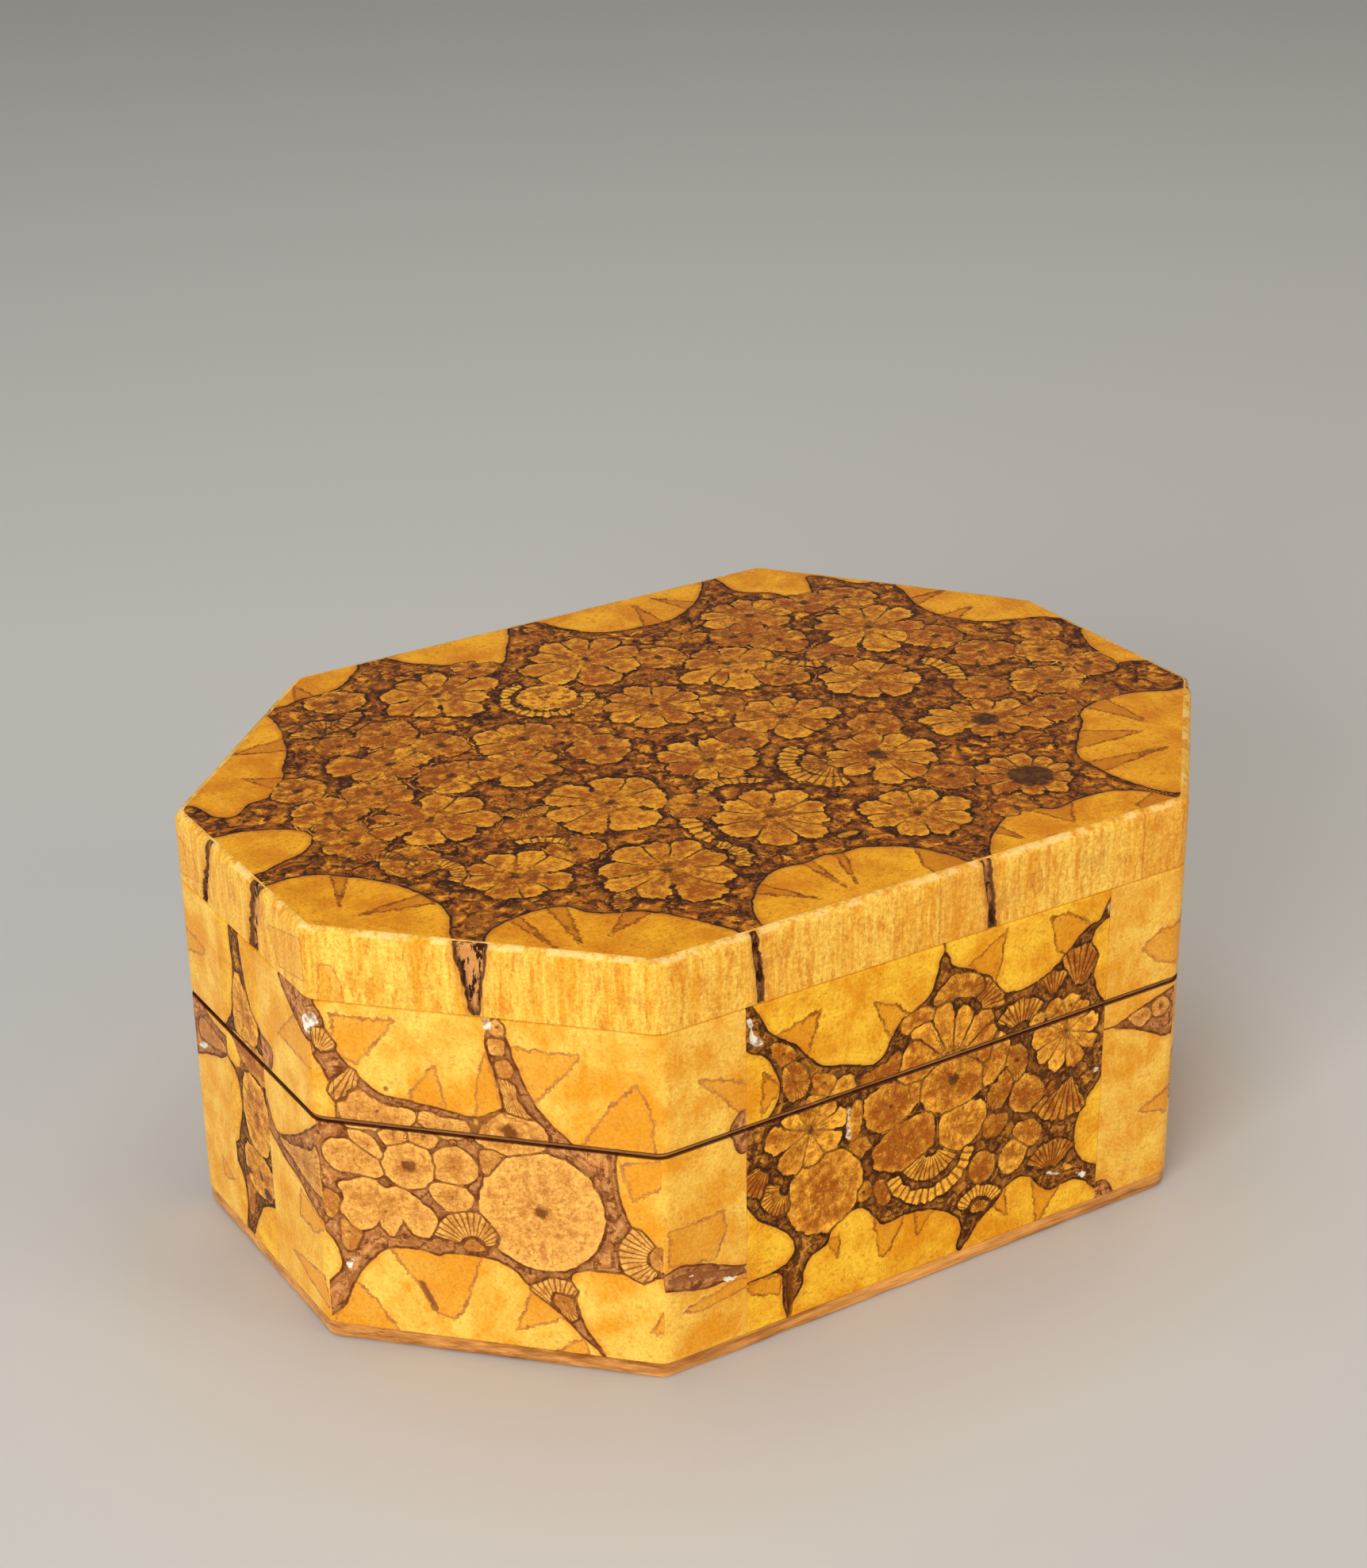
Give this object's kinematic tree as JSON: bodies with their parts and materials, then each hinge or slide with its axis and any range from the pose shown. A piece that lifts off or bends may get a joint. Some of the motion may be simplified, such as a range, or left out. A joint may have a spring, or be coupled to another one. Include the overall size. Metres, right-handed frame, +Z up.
{
  "type": "lidded burl wood box",
  "caption": "Small lidded keepsake box with an elongated octagonal outline, built of thick lacquered burl wood slices, with a lift-off lid.",
  "frame": {"origin": "centre of the box's overall outline, on its underside", "axes": "+X along the long side, towards the right end; +Y from the front to the back; +Z up, from the underside to the lid"},
  "size_m": [0.12, 0.088, 0.0515],
  "materials": {
    "top_slice": "dark figured burl sliced across the grain, under a glossy clear lacquer",
    "wall_slice": "yellow and brown figured burl slices under a glossy clear lacquer, bare wood inside",
    "bottom_board": "plain orange-brown board, lacquered on its edge and worn along its lower edge"
  },
  "bodies": {
    "root": {"lid_top": "top_slice", "bottom_board": "bottom_board", "lid_rim_front": "wall_slice", "lid_rim_front_right": "wall_slice", "lid_rim_right": "wall_slice", "lid_rim_back_right": "wall_slice", "lid_rim_back": "wall_slice", "lid_rim_back_left": "wall_slice", "lid_rim_left": "wall_slice", "lid_rim_front_left": "wall_slice", "base_wall_front": "wall_slice", "base_wall_front_right": "wall_slice", "base_wall_right": "wall_slice", "base_wall_back_right": "wall_slice", "base_wall_back": "wall_slice", "base_wall_back_left": "wall_slice", "base_wall_left": "wall_slice", "base_wall_front_left": "wall_slice"}
  },
  "joints": []
}
